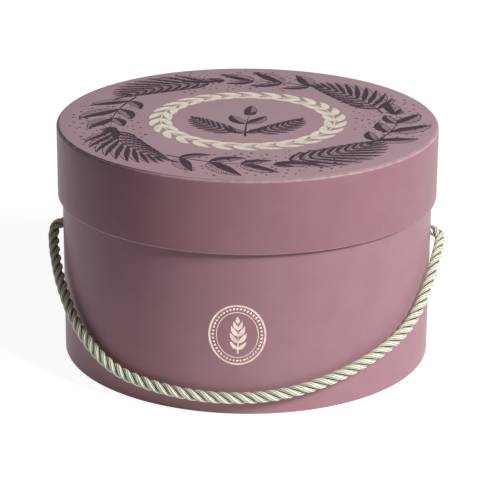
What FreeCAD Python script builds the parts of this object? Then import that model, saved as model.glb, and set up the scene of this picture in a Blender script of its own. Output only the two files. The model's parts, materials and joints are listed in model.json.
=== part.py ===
import FreeCAD, Part
import math
import os

# A squat round gift box of rolled greyboard covered in paper: a drum, a deep lift-off lid
# and a twisted cord handle that passes through the drum's sides and is knotted inside.
# Millimetres. The box stands on the origin, +Z is up, the front is -Y, and the cord's holes lie on X.

# Driving sizes of the box
drum_diameter = 244.0
overall_height = 156.0
lid_skirt_height = 48.0
lid_clearance = 0.35

# Sheet materials
board_thickness = 2.0
paper_thickness = 0.2
glue_line = 0.05
fold_radius = 0.8

# Paper turned over the edges of the board
rim_hem_depth = 15.0
lid_hem_depth = 15.0
underside_hem_width = 12.0
lid_top_hem_width = 12.0
hem_reveal = 4.0
lining_ramp = 1.0
underside_sheet_inset = 2.0
lid_top_sheet_inset = 1.2

# Cord handle
cord_diameter = 7.5
cord_hole_clearance = 0.5
cord_hole_below_lid = 25.5
knot_diameter = 18.0
knot_length = 16.0
knot_rounding = 4.8
knot_clearance = 0.3
tail_run = 9.0
tail_droop_degrees = 32.0
tape_length = 5.0
tape_thickness = 0.3

# Cord outside the drum, from the left hole round the front to the right one. Each point is
# (degrees round from the front, stand-off from the drum's wall, drop below the holes).
cord_route = [
    (-90.0, 1.2, 0.0),
    (-89.2, 4.8, 1.3),
    (-87.9, 6.9, 3.8),
    (-85.0, 6.7, 8.5),
    (-79.0, 6.1, 15.4),
    (-69.0, 5.8, 28.4),
    (-56.0, 5.7, 48.3),
    (-40.0, 5.7, 64.1),
    (-23.0, 5.7, 68.2),
    (-6.0, 5.7, 69.9),
    (11.0, 5.7, 68.4),
    (28.0, 5.7, 61.1),
    (44.0, 5.7, 51.4),
    (58.0, 5.7, 42.1),
    (69.0, 5.8, 25.3),
    (78.0, 6.1, 10.1),
    (84.0, 6.7, 4.9),
    (87.5, 6.9, 2.4),
    (89.1, 4.8, 0.8),
    (90.0, 1.2, 0.0),
]
arc_run_share = 0.45

# Sheets are one ply (paper and its glue) or one board apart
ply = paper_thickness + glue_line
board_edge_rounding = fold_radius - ply
inner_fold_radius = fold_radius - paper_thickness

# Drum radii, from the outside in
drum_radius = drum_diameter / 2
tube_outer = drum_radius - ply
tube_inner = tube_outer - board_thickness
drum_hem_outer = tube_inner - glue_line
drum_hem_inner = tube_inner - ply
drum_lining_neck = drum_hem_inner - ply

# Drum heights, from the table up
drum_wrap_bottom = ply
tube_bottom = drum_wrap_bottom + ply
floor_top = ply + board_thickness
floor_lining_bottom = floor_top + glue_line
floor_lining_top = floor_top + ply
drum_rim = overall_height - ply - board_thickness - ply
rim_hem_edge = drum_rim - rim_hem_depth
underside_hem_inner = drum_radius - underside_hem_width

# Lid radii, from the drum out
lid_lining_inner = drum_radius + lid_clearance
lid_hem_inner = lid_lining_inner + ply
lid_ring_inner = lid_hem_inner + ply
lid_ring_outer = lid_ring_inner + board_thickness
lid_radius = lid_ring_outer + ply
lid_top_hem_inner = lid_radius - lid_top_hem_width

# Lid heights
lid_bottom = overall_height - lid_skirt_height
lid_hem_edge = lid_bottom + lid_hem_depth
lid_disc_bottom = drum_rim + ply
lid_wrap_top = overall_height - ply
lid_ring_top = lid_wrap_top - ply

# Cord places
cord_radius = cord_diameter / 2
hole_radius = cord_radius + cord_hole_clearance
hole_height = lid_bottom - cord_hole_below_lid
wall_bow = drum_hem_inner - math.sqrt(drum_hem_inner**2 - hole_radius**2)
knot_face = drum_hem_inner - wall_bow - knot_clearance
knot_radius = knot_diameter / 2

UP = FreeCAD.Vector(0, 0, 1)
ALONG_X = FreeCAD.Vector(1, 0, 0)
SIDES = {"left": -1, "right": 1}


def tangent_arc(before, corner, after, radius):
    """Start, middle and end of the arc of that radius that rounds a corner off."""
    back = (before - corner).normalize()
    ahead = (after - corner).normalize()
    half_opening = back.getAngle(ahead) / 2
    reach = radius / math.tan(half_opening)
    inward = (back + ahead).normalize()
    middle = corner + inward * (radius / math.sin(half_opening) - radius)
    return corner + back * reach, middle, corner + ahead * reach


def turned(outline):
    """Solid turned about Z from a closed outline of (radius, height, rounding of that corner)."""
    corners = [FreeCAD.Vector(radius, 0, height) for radius, height, _ in outline]
    edges = []
    ends = []
    for index, (_, _, rounding) in enumerate(outline):
        corner = corners[index]
        following = corners[(index + 1) % len(corners)]
        if rounding > 0:
            start, middle, end = tangent_arc(corners[index - 1], corner, following, rounding)
            edges.append(Part.Arc(start, middle, end).toShape())
            ends.append((start, end))
        else:
            ends.append((corner, corner))
    for index, (_, end) in enumerate(ends):
        following_start = ends[(index + 1) % len(ends)][0]
        edges.append(Part.LineSegment(end, following_start).toShape())
    wire = Part.Wire(Part.__sortEdges__(edges))
    return Part.Face(wire).revolve(FreeCAD.Vector(), UP, 360)


def disc(radius, bottom, top):
    """Flat round sheet between two heights."""
    return Part.makeCylinder(radius, top - bottom, UP * bottom)


def with_cord_holes(shape):
    """The shape with the two cord holes punched through it along X."""
    start = FreeCAD.Vector(-lid_radius, 0, hole_height)
    return shape.cut(Part.makeCylinder(hole_radius, 2 * lid_radius, start, ALONG_X))


def drum_tube():
    """Rolled greyboard wall of the drum."""
    bottom = tube_bottom
    top = drum_rim - ply
    return with_cord_holes(turned([
        (tube_inner, bottom, 0),
        (tube_outer, bottom, board_edge_rounding),
        (tube_outer, top, board_edge_rounding),
        (tube_inner, top, board_edge_rounding),
    ]))


def drum_floor():
    """Greyboard disc glued inside the foot of the tube, its underside pressed in under the hem."""
    radius = tube_inner - glue_line
    rebate = underside_hem_inner - glue_line
    return turned([
        (0, ply, 0),
        (rebate, ply, 0),
        (rebate, tube_bottom, 0),
        (radius, tube_bottom, 0),
        (radius, floor_top, 0),
        (0, floor_top, 0),
    ])


def drum_wrap():
    """Covering paper of the drum, turned under the foot and over the rim to the inside."""
    outer = drum_radius
    bottom = drum_wrap_bottom
    return with_cord_holes(turned([
        (underside_hem_inner, bottom, 0),
        (outer, bottom, fold_radius),
        (outer, drum_rim, fold_radius),
        (drum_hem_inner, drum_rim, fold_radius),
        (drum_hem_inner, rim_hem_edge, 0),
        (drum_hem_outer, rim_hem_edge, 0),
        (drum_hem_outer, drum_rim - paper_thickness, inner_fold_radius),
        (outer - paper_thickness, drum_rim - paper_thickness, inner_fold_radius),
        (outer - paper_thickness, bottom + paper_thickness, inner_fold_radius),
        (underside_hem_inner, bottom + paper_thickness, 0),
    ]))


def drum_lining():
    """Lining paper of the drum's wall, which steps over the rim hem and leaves its top edge bare."""
    step = rim_hem_edge - glue_line
    top = drum_rim - hem_reveal
    return with_cord_holes(turned([
        (drum_hem_outer, floor_lining_bottom, 0),
        (drum_hem_outer, step - lining_ramp, 0),
        (drum_hem_outer - ply, step, 0),
        (drum_hem_outer - ply, top, 0),
        (drum_lining_neck, top, 0),
        (drum_lining_neck, step, 0),
        (drum_hem_inner, step - lining_ramp, 0),
        (drum_hem_inner, floor_lining_bottom, 0),
    ]))


def floor_lining():
    """Lining paper disc on the drum's floor."""
    return disc(drum_hem_inner - glue_line, floor_lining_bottom, floor_lining_top)


def underside_sheet():
    """Paper disc under the drum, which covers the hem and is the face the box stands on."""
    return disc(drum_radius - underside_sheet_inset, 0, paper_thickness)


def lid_ring():
    """Rolled greyboard skirt of the lid."""
    bottom = lid_bottom + ply
    return turned([
        (lid_ring_inner, bottom, board_edge_rounding),
        (lid_ring_outer, bottom, board_edge_rounding),
        (lid_ring_outer, lid_ring_top, board_edge_rounding),
        (lid_ring_inner, lid_ring_top, 0),
    ])


def lid_disc():
    """Greyboard top of the lid, set inside the ring and pressed in under the hem."""
    radius = lid_ring_inner - glue_line
    rebate = lid_top_hem_inner - glue_line
    return turned([
        (0, lid_disc_bottom, 0),
        (radius, lid_disc_bottom, 0),
        (radius, lid_ring_top, 0),
        (rebate, lid_ring_top, 0),
        (rebate, lid_wrap_top, 0),
        (0, lid_wrap_top, 0),
    ])


def lid_wrap():
    """Covering paper of the lid's skirt, turned over the top and up inside the lower edge."""
    outer = lid_radius
    return turned([
        (lid_top_hem_inner, lid_wrap_top, 0),
        (outer, lid_wrap_top, fold_radius),
        (outer, lid_bottom, fold_radius),
        (lid_hem_inner, lid_bottom, fold_radius),
        (lid_hem_inner, lid_hem_edge, 0),
        (lid_hem_inner + paper_thickness, lid_hem_edge, 0),
        (lid_hem_inner + paper_thickness, lid_bottom + paper_thickness, inner_fold_radius),
        (outer - paper_thickness, lid_bottom + paper_thickness, inner_fold_radius),
        (outer - paper_thickness, lid_wrap_top - paper_thickness, inner_fold_radius),
        (lid_top_hem_inner, lid_wrap_top - paper_thickness, 0),
    ])


def lid_top_sheet():
    """Printed paper disc on the lid, trimmed just short of the lid's edge."""
    return disc(lid_radius - lid_top_sheet_inset, lid_wrap_top + glue_line, overall_height)


def lid_band_lining():
    """Lining paper inside the lid's skirt, which steps over the hem and leaves its lower edge bare."""
    step = lid_hem_edge + glue_line
    bottom = lid_bottom + hem_reveal
    top = lid_disc_bottom - glue_line
    return turned([
        (lid_hem_inner, top, 0),
        (lid_hem_inner, step + lining_ramp, 0),
        (lid_lining_inner, step, 0),
        (lid_lining_inner, bottom, 0),
        (lid_lining_inner + paper_thickness, bottom, 0),
        (lid_lining_inner + paper_thickness, step, 0),
        (lid_hem_inner + paper_thickness, step + lining_ramp, 0),
        (lid_hem_inner + paper_thickness, top, 0),
    ])


def lid_disc_lining():
    """Lining paper disc under the lid's top, which comes to rest on the drum's rim."""
    return disc(lid_hem_inner - glue_line, drum_rim, drum_rim + paper_thickness)


def cord_tube(points):
    """Plain round tube along runs that are joined by the largest tangent arcs they leave room for.

    Args:
        points: the route's corners, in order.

    Returns:
        The tube, its length and the radii of its arcs.
    """
    edges = []
    radii = []
    run_start = points[0]
    for before, corner, after in zip(points, points[1:], points[2:]):
        half_turn = (corner - before).getAngle(after - corner) / 2
        shorter_run = min((corner - before).Length, (after - corner).Length)
        radius = arc_run_share * shorter_run / math.tan(half_turn)
        start, middle, end = tangent_arc(before, corner, after, radius)
        edges.append(Part.LineSegment(run_start, start).toShape())
        edges.append(Part.Arc(start, middle, end).toShape())
        radii.append(radius)
        run_start = end
    edges.append(Part.LineSegment(run_start, points[-1]).toShape())
    path = Part.Wire(edges)
    section = Part.Wire(Part.makeCircle(cord_radius, points[0], points[1] - points[0]))
    sweep = Part.BRepOffsetAPI.MakePipeShell(path)
    sweep.add(section)
    sweep.build()
    sweep.makeSolid()
    return sweep.shape(), path.Length, radii


def report_tube(name, tube, length, radii):
    """Print a tube's length, its arcs in cord diameters and its volume against section times length."""
    in_diameters = ", ".join(f"{radius / cord_diameter:.2f}" for radius in radii)
    section_volume = math.pi * cord_radius**2 * length
    print(f"{name}: length {length:.1f} mm, arcs in cord diameters {in_diameters}")
    print(f"{name}: volume over section times length {tube.Volume / section_volume:.5f}")


def cord_span():
    """Cord from knot to knot: through both holes and round the drum's front in a slack loop."""
    points = [FreeCAD.Vector(-knot_face, 0, hole_height)]
    for azimuth, stand_off, drop in cord_route:
        turn = math.radians(azimuth)
        reach = drum_radius + stand_off
        points.append(FreeCAD.Vector(reach * math.sin(turn), -reach * math.cos(turn), hole_height - drop))
    points.append(FreeCAD.Vector(knot_face, 0, hole_height))
    tube, length, radii = cord_tube(points)
    report_tube("cord_span", tube, length, radii)
    return tube


def knot(side):
    """Stopper knot drawn up against the lining, the same all round the hole's axis."""
    shape = turned([
        (0, 0, 0),
        (knot_radius, 0, knot_rounding),
        (knot_radius, knot_length, knot_rounding),
        (0, knot_length, 0),
    ])
    shape.Placement = FreeCAD.Placement(
        FreeCAD.Vector(side * knot_face, 0, hole_height), FreeCAD.Rotation(UP, ALONG_X * -side))
    return shape


def tail_points(side):
    """Corners of the cord's short end, which runs on from the knot and droops."""
    droop = math.radians(tail_droop_degrees)
    start = FreeCAD.Vector(side * (knot_face - knot_length), 0, hole_height)
    bend = start - ALONG_X * (side * tail_run)
    end = bend + FreeCAD.Vector(-side * math.cos(droop), 0, -math.sin(droop)) * tail_run
    return [start, bend, end]


def tail(side):
    """Short end of the cord beyond the knot."""
    tube, length, radii = cord_tube(tail_points(side))
    report_tube("tail", tube, length, radii)
    return tube


def end_tape(side):
    """Tape wound round the cut end of the cord to keep it from fraying."""
    _, bend, end = tail_points(side)
    direction = (end - bend).normalize()
    start = end - direction * tape_length
    sleeve = Part.makeCylinder(cord_radius + tape_thickness, tape_length, start, direction)
    return sleeve.cut(Part.makeCylinder(cord_radius, tape_length, start, direction))


def main():
    """Build every piece and write each one to its own file."""
    pieces = {
        "drum_tube": drum_tube(),
        "drum_floor": drum_floor(),
        "drum_wrap": drum_wrap(),
        "drum_lining": drum_lining(),
        "floor_lining": floor_lining(),
        "underside_sheet": underside_sheet(),
        "lid_ring": lid_ring(),
        "lid_disc": lid_disc(),
        "lid_wrap": lid_wrap(),
        "lid_top_sheet": lid_top_sheet(),
        "lid_band_lining": lid_band_lining(),
        "lid_disc_lining": lid_disc_lining(),
        "cord_span": cord_span(),
    }
    for name, side in SIDES.items():
        pieces[f"{name}_knot"] = knot(side)
        pieces[f"{name}_tail"] = tail(side)
        pieces[f"{name}_end_tape"] = end_tape(side)
    os.makedirs("parts", exist_ok=True)
    for name, shape in pieces.items():
        shape.exportStep(f"parts/{name}.step")
        print(f"{name}: {len(shape.Solids)} solid, valid {shape.isValid()}, {shape.Volume:.1f} mm3")


main()
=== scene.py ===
"""Looks of a round gift box: papered drum and lid, printed ornament and a twisted cord handle.

Metres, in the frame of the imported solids: +Z is up, the front is -Y and the cord's holes lie on X.
Azimuths are measured round the box's axis from the front, positive towards +X.
"""

import json
import logging
import math
from abc import ABC, abstractmethod
from collections.abc import Callable, Sequence
from dataclasses import dataclass, field
from enum import Enum

import bpy
import numpy as np
from mathutils import Matrix, Vector

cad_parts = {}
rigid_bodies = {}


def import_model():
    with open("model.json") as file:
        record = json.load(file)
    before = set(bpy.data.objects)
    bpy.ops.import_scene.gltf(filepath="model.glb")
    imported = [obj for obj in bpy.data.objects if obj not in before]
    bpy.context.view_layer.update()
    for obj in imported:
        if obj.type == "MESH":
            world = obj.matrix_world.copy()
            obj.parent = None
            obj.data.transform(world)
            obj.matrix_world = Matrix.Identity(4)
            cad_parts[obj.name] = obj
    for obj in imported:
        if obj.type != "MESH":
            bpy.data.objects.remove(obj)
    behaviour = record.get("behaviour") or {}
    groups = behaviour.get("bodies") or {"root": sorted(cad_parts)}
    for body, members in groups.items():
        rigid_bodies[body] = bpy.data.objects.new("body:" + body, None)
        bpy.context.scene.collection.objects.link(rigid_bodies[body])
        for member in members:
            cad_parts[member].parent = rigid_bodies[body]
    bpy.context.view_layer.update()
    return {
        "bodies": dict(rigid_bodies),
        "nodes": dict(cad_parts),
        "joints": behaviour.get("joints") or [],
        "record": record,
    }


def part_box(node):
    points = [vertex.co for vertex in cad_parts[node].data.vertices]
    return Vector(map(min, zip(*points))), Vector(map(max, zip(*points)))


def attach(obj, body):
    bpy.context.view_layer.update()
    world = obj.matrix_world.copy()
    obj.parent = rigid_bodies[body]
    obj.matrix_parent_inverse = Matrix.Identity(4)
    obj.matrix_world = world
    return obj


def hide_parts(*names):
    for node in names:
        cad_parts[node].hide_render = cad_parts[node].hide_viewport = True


log = logging.getLogger("gift_box")

Array = np.ndarray
Point = tuple[float, float, float]
Span = tuple[float, float]
Colour = tuple[float, float, float, float]
Placer = Callable[[Array, Array], Array]
Socket = bpy.types.NodeSocket
Node = bpy.types.Node
Material = bpy.types.Material
Piece = bpy.types.Object

FULL_TURN = 2 * math.pi
GOLDEN_ANGLE = math.pi * (3 - math.sqrt(5))
GOLDEN_SHARE = 0.618034
WHITE = "#ffffff"
# Painted shade for the left, unlit side of the lid's top fold and of the card's cut edge.
PAINTED_RIM_SHADE = "#2a1318"
FADING: Span = (1.0, 0.0)
LEAF_POINTS = 9
# Faces that meet at more than this are shaded with an edge between them.
CREASE = math.radians(50)
# Least length that a vector is divided by.
LEAST_LENGTH = 1e-12
# Narrowest half-width of a mark, and least distance from a hole's centre.
TINY = 1e-6
# Margin that takes up rounding where a point may lie on an edge.
JUST_OVER = 1.001
# Coarse grid stops nearer than this share of a fine patch's reach give way to it.
CLEAR_OF = 1.05


class Side(Enum):
    """The two ends of the cord, by the sign of X."""

    LEFT = -1
    RIGHT = 1

    @property
    def word(self) -> str:
        """The side's name as the nodes spell it."""
        return self.name.lower()


def tint(code: str) -> Colour:
    """Linear colour of an sRGB hex code: the standard curve on each channel.

    Args:
        code: six hex digits, with or without a leading mark.

    Returns:
        Red, green, blue and full alpha.
    """
    digits = code.lstrip("#")
    channels = np.array([int(digits[i:i + 2], 16) for i in (0, 2, 4)]) / 255
    linear = np.where(channels <= 0.04045, channels / 12.92, ((channels + 0.055) / 1.055) ** 2.4)
    return (*linear.tolist(), 1.0)


def smoothstep(share: Array) -> Array:
    """Eased ramp from 0 to 1: three times the square less twice the cube of the clipped share."""
    clipped = np.clip(share, 0, 1)
    return clipped * clipped * (3 - 2 * clipped)


def unit(vectors: Array) -> Array:
    """Vectors along the last axis divided by their lengths."""
    return vectors / np.maximum(np.linalg.norm(vectors, axis=-1, keepdims=True), LEAST_LENGTH)


def around(azimuth: Array, radius: Array, height: Array) -> Array:
    """Points on circles about the box's axis: radius times sine and minus cosine of the azimuth.

    Args:
        azimuth: radians from the front towards +X.
        radius: distance from the axis.
        height: distance above the table.

    Returns:
        Points, with x, y and z on a new last axis.
    """
    azimuth, radius, height = np.broadcast_arrays(azimuth, radius, height)
    return np.stack([radius * np.sin(azimuth), -radius * np.cos(azimuth), height], axis=-1)


def circle(turn: Array) -> Array:
    """Points of the unit circle in a plane: cosine and sine of the turn."""
    return np.column_stack([np.cos(turn), np.sin(turn)])


def grid_quads(rows: int, columns: int, closed: bool = False) -> Array:
    """Quads of a row-major grid of points.

    Args:
        rows: number of rows.
        columns: number of columns.
        closed: whether the last column joins the first.

    Returns:
        Point numbers, four to a face, turned so that column then row is counter-clockwise.
    """
    row = np.arange(rows - 1)[:, None]
    column = np.arange(columns if closed else columns - 1)[None, :]
    following = (column + 1) % columns
    corners = [row * columns + column, row * columns + following,
               (row + 1) * columns + following, (row + 1) * columns + column]
    return np.stack(np.broadcast_arrays(*corners), axis=-1).reshape(-1, 4)


def make_piece(name: str, points: Array, faces: Sequence[Array], lay: Array | None = None) -> Piece:
    """New smooth-shaded mesh object at the origin.

    Args:
        name: the piece's name.
        points: its points, one to a row.
        faces: blocks of faces, each block with one count of corners.
        lay: a vector for each point, kept as the attribute "lay" for the material.

    Returns:
        The object, linked to the scene.
    """
    mesh = bpy.data.meshes.new(name)
    corners = [face for block in faces for face in block.tolist()]
    mesh.from_pydata(points.reshape(-1, 3).tolist(), [], corners)
    mesh.polygons.foreach_set("use_smooth", np.ones(len(mesh.polygons), dtype=bool))
    if lay is not None:
        attribute = mesh.attributes.new("lay", "FLOAT_VECTOR", "POINT")
        attribute.data.foreach_set("vector", lay.ravel().astype(np.float32))
    mesh.validate()
    mesh.update()
    piece = bpy.data.objects.new(name, mesh)
    bpy.context.scene.collection.objects.link(piece)
    return piece


@dataclass(frozen=True)
class Noise:
    """Settings of a noise pattern: its scale, its octaves and how much the finer ones count."""

    scale: float
    detail: float = 3.0
    roughness: float = 0.5


class NodeSheet:
    """Node tree of a material or a world, with short calls that add and join nodes."""

    def __init__(self, owner: Material | bpy.types.World, output: str) -> None:
        """Start an empty tree with its output node.

        Args:
            owner: the material or world.
            output: the output node's type.
        """
        owner.use_nodes = True
        self.owner = owner
        self.tree = owner.node_tree
        self.tree.nodes.clear()
        self.output = self.tree.nodes.new(output)

    @classmethod
    def of_material(cls, name: str) -> "NodeSheet":
        """The sheet of a new material."""
        return cls(bpy.data.materials.new(name), "ShaderNodeOutputMaterial")

    def add(self, kind: str, inputs: dict | None = None, **settings: object) -> Node:
        """Add a node.

        Args:
            kind: the node's type.
            inputs: socket name or number to a value, or to a socket that feeds it.
            settings: the node's own properties.

        Returns:
            The node.
        """
        node = self.tree.nodes.new(kind)
        for key, value in settings.items():
            setattr(node, key, value)
        for key, value in (inputs or {}).items():
            if isinstance(value, Socket):
                self.tree.links.new(value, node.inputs[key])
            else:
                node.inputs[key].default_value = value
        return node

    def place(self) -> Socket:
        """Object coordinates."""
        return self.add("ShaderNodeTexCoord").outputs["Object"]

    def noise(self, vector: Socket, pattern: Noise) -> Socket:
        """Value of a noise pattern on a vector.

        Args:
            vector: where the pattern is read.
            pattern: its settings.

        Returns:
            The value.
        """
        inputs = {"Vector": vector, "Scale": pattern.scale, "Detail": pattern.detail,
                  "Roughness": pattern.roughness}
        return self.add("ShaderNodeTexNoise", inputs).outputs["Fac"]

    def scaled(self, vector: Socket, scale: Point) -> Socket:
        """A vector stretched along its axes."""
        return self.add("ShaderNodeMapping", {"Vector": vector, "Scale": scale}).outputs["Vector"]

    def split(self, vector: Socket) -> tuple[Socket, Socket, Socket]:
        """The three parts of a vector."""
        return tuple(self.add("ShaderNodeSeparateXYZ", {0: vector}).outputs)

    def joined(self, *parts: Socket) -> Socket:
        """A vector of these parts, with nothing in the rest."""
        return self.add("ShaderNodeCombineXYZ", dict(enumerate(parts))).outputs[0]

    def length(self, vector: Socket) -> Socket:
        """Length of a vector."""
        return self.add("ShaderNodeVectorMath", {0: vector}, operation="LENGTH").outputs["Value"]

    def worked(self, operation: str, *values: Socket | float) -> Socket:
        """What a named operation makes of one or two values."""
        return self.add("ShaderNodeMath", dict(enumerate(values)), operation=operation).outputs[0]

    def ramp(self, value: Socket, span: Span, into: Span = (0.0, 1.0)) -> Socket:
        """A value eased from one span into another, and clamped.

        Args:
            value: the value.
            span: its two ends.
            into: what the two ends become.

        Returns:
            The eased value.
        """
        inputs = {"Value": value, "From Min": span[0], "From Max": span[1], "To Min": into[0],
                  "To Max": into[1]}
        return self.add("ShaderNodeMapRange", inputs, interpolation_type="SMOOTHSTEP").outputs["Result"]

    def mix(self, share: Socket, first: Socket | str, second: Socket | str) -> Socket:
        """Blend of two colours.

        Args:
            share: nothing for the first colour and one for the second.
            first: a socket or a hex code.
            second: a socket or a hex code.

        Returns:
            The blended colour.
        """
        # The node's colour sockets go by number, because their names aren't theirs alone.
        factor, colours, result = 0, (6, 7), 2
        inputs = {factor: share}
        for socket, value in zip(colours, (first, second)):
            inputs[socket] = tint(value) if isinstance(value, str) else value
        return self.add("ShaderNodeMix", inputs, data_type="RGBA").outputs[result]

    def from_ring(self, place: Socket, radius: float, height: float) -> Socket:
        """Distance from a level ring about the box's axis, by the two legs of a right angle.

        Args:
            place: Object coordinates.
            radius: the ring's radius.
            height: its height above the table.

        Returns:
            The distance.
        """
        x, y, z = self.split(place)
        out = self.length(self.joined(x, y))
        legs = [self.worked("SUBTRACT", *leg) for leg in ((out, radius), (z, height))]
        return self.length(self.joined(*legs))

    def bump(self, height: Socket, relief: Span, under: Socket | None = None) -> Socket:
        """Surface normal of a relief.

        Args:
            height: the relief's pattern.
            relief: its depth, and its strength as a share.
            under: the normal that it is laid over, if any.

        Returns:
            The normal.
        """
        inputs = {"Height": height, "Distance": relief[0], "Strength": relief[1]}
        if under is not None:
            inputs["Normal"] = under
        return self.add("ShaderNodeBump", inputs).outputs["Normal"]

    def seen_rays(self) -> Socket:
        """One for camera, glossy and transmission rays, and nothing for the rest.

        Returns:
            The greatest of the three marks.
        """
        rays = self.add("ShaderNodeLightPath").outputs
        seen = rays["Is Camera Ray"]
        for kind in ("Is Glossy Ray", "Is Transmission Ray"):
            seen = self.worked("MAXIMUM", seen, rays[kind])
        return seen

    def added(self, first: Node, second: Node) -> Node:
        """The sum of two shaders."""
        return self.add("ShaderNodeAddShader", {0: first.outputs[0], 1: second.outputs[0]})

    def chosen(self, share: Socket, first: Node, second: Node) -> Node:
        """The first shader where the share is nothing, and the second where it is one."""
        return self.add("ShaderNodeMixShader", {0: share, 1: first.outputs[0], 2: second.outputs[0]})

    def close(self, shader: Node) -> Material | bpy.types.World:
        """Join the last shader to the output and hand over the finished owner."""
        self.tree.links.new(shader.outputs[0], self.output.inputs["Surface"])
        return self.owner


@dataclass(frozen=True)
class Finish(ABC):
    """A finish, which makes its material by a recipe of its own."""

    name: str

    @abstractmethod
    def inputs(self, sheet: NodeSheet) -> dict:
        """The shader's inputs.

        Args:
            sheet: the new material's nodes.

        Returns:
            Socket name to a value, or to a socket that feeds it.
        """

    def material(self) -> Material:
        """The finish as a new material."""
        sheet = NodeSheet.of_material(self.name)
        return sheet.close(sheet.add("ShaderNodeBsdfPrincipled", self.inputs(sheet)))


@dataclass(frozen=True)
class WornAndShadedFold:
    """Level ring where a paper is folded or cut, and tinted there by wear and by painted light.

    The tint is full on the ring and gone at the reach. It passes from the left one to the right one
    between two places along X. Where the two differ, the left tint is painted shade on the side away
    from the key light and the right tint a painted highlight on the lit side. Where they are alike,
    the tint is a pale wear, which on the lid's lower edge also stands in for a reflection.
    """

    radius: float
    height: float
    left: str = "#d2b5ba"
    right: str = "#d2b5ba"
    reach: float = 0.0011
    passage: Span = (-0.085, -0.03)


@dataclass(frozen=True)
class CoveringPaper(Finish):
    """Satin laminated covering paper: plain tint, faint mottling, fine grain, and folds tinted by wear
    and by painted shade and highlight.
    """

    colour: str = "#a88089"
    mottle: str = "#a57c85"
    gloss: float = 0.15
    roughness: float = 0.42
    roughness_spread: float = 0.03
    mottling: Noise = Noise(55.0, 4.0, 0.6)
    mottling_span: Span = (0.35, 0.7)
    scuffs: Noise = Noise(180.0, 5.0, 0.65)
    scuff_span: Span = (0.35, 0.7)
    scuff_cover: Span = (0.45, 1.0)
    sheen: Noise = Noise(300.0)
    sheen_span: Span = (0.2, 0.8)
    ripple: Noise = Noise(14.0, 1.0)
    ripple_relief: Span = (0.00006, 0.6)
    grain: Noise = Noise(2600.0, 2.0)
    grain_relief: Span = (0.000012, 0.5)
    folds: tuple[WornAndShadedFold, ...] = ()

    def inputs(self, sheet: NodeSheet) -> dict:
        """Mottled tint with scuffed folds that carry wear and painted shade and highlight, an uneven
        sheen, and fine grain over slow ripples.

        Args:
            sheet: the new material's nodes.

        Returns:
            The shader's inputs.
        """
        place = sheet.place()
        mottling = sheet.ramp(sheet.noise(place, self.mottling), self.mottling_span)
        colour = sheet.mix(mottling, self.colour, self.mottle)
        scuffs = sheet.ramp(sheet.noise(place, self.scuffs), self.scuff_span, self.scuff_cover)
        across, _, _ = sheet.split(place)
        for fold in self.folds:
            away = sheet.from_ring(place, fold.radius, fold.height)
            near = sheet.ramp(away, (0.0, fold.reach), FADING)
            # The fold's tint: wear, and where left and right differ, painted shade on the left and a
            # painted highlight on the right.
            wear_and_shade = sheet.mix(sheet.ramp(across, fold.passage), fold.left, fold.right)
            colour = sheet.mix(sheet.worked("MULTIPLY", near, scuffs), colour, wear_and_shade)
        ripple = sheet.bump(sheet.noise(place, self.ripple), self.ripple_relief)
        grain = sheet.bump(sheet.noise(place, self.grain), self.grain_relief, ripple)
        spread = (self.roughness - self.roughness_spread, self.roughness + self.roughness_spread)
        sheen = sheet.ramp(sheet.noise(place, self.sheen), self.sheen_span, spread)
        return {"Base Color": colour, "Roughness": sheen, "Normal": grain,
                "Specular IOR Level": self.gloss}


@dataclass(frozen=True)
class LiningPaper(Finish):
    """Uncoated lining paper: warm white with visible fibres and a soft tooth."""

    name: str = "lining_paper"
    colour: str = "#efe9df"
    fibre: str = "#dfd6c8"
    roughness: float = 0.85
    clouds: Noise = Noise(120.0, 5.0, 0.6)
    cloud_span: Span = (0.4, 0.7)
    cloud_cover: Span = (0.0, 0.16)
    fibres: Noise = Noise(1.0, 4.0, 0.7)
    fibre_stretch: Point = (900.0, 900.0, 260.0)
    fibre_span: Span = (0.58, 0.75)
    fibre_cover: Span = (0.0, 0.7)
    tooth_relief: Span = (0.00003, 0.6)

    def inputs(self, sheet: NodeSheet) -> dict:
        """Clouded tint under upright fibres, which also give the tooth.

        Args:
            sheet: the new material's nodes.

        Returns:
            The shader's inputs.
        """
        place = sheet.place()
        clouds = sheet.ramp(sheet.noise(place, self.clouds), self.cloud_span, self.cloud_cover)
        fibres = sheet.noise(sheet.scaled(place, self.fibre_stretch), self.fibres)
        colour = sheet.mix(clouds, self.colour, self.fibre)
        colour = sheet.mix(sheet.ramp(fibres, self.fibre_span, self.fibre_cover), colour, self.fibre)
        return {"Base Color": colour, "Roughness": self.roughness,
                "Normal": sheet.bump(fibres, self.tooth_relief)}


@dataclass(frozen=True)
class Greyboard(Finish):
    """Raw greyboard: recycled grey with darker and lighter flecks."""

    name: str = "greyboard"
    colour: str = "#8d867c"
    dark: str = "#5d574f"
    pale: str = "#b5ada0"
    roughness: float = 0.95
    dark_flecks: Noise = Noise(900.0, 4.0, 0.7)
    dark_span: Span = (0.55, 0.7)
    pale_flecks: Noise = Noise(500.0)
    pale_span: Span = (0.6, 0.75)
    tooth_relief: Span = (0.00005, 0.7)

    def inputs(self, sheet: NodeSheet) -> dict:
        """Dark flecks under pale ones, and a tooth that follows the dark ones.

        Args:
            sheet: the new material's nodes.

        Returns:
            The shader's inputs.
        """
        place = sheet.place()
        flecks = sheet.noise(place, self.dark_flecks)
        colour = sheet.mix(sheet.ramp(flecks, self.dark_span), self.colour, self.dark)
        pale = sheet.ramp(sheet.noise(place, self.pale_flecks), self.pale_span)
        return {"Base Color": sheet.mix(pale, colour, self.pale), "Roughness": self.roughness,
                "Normal": sheet.bump(flecks, self.tooth_relief)}


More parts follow.
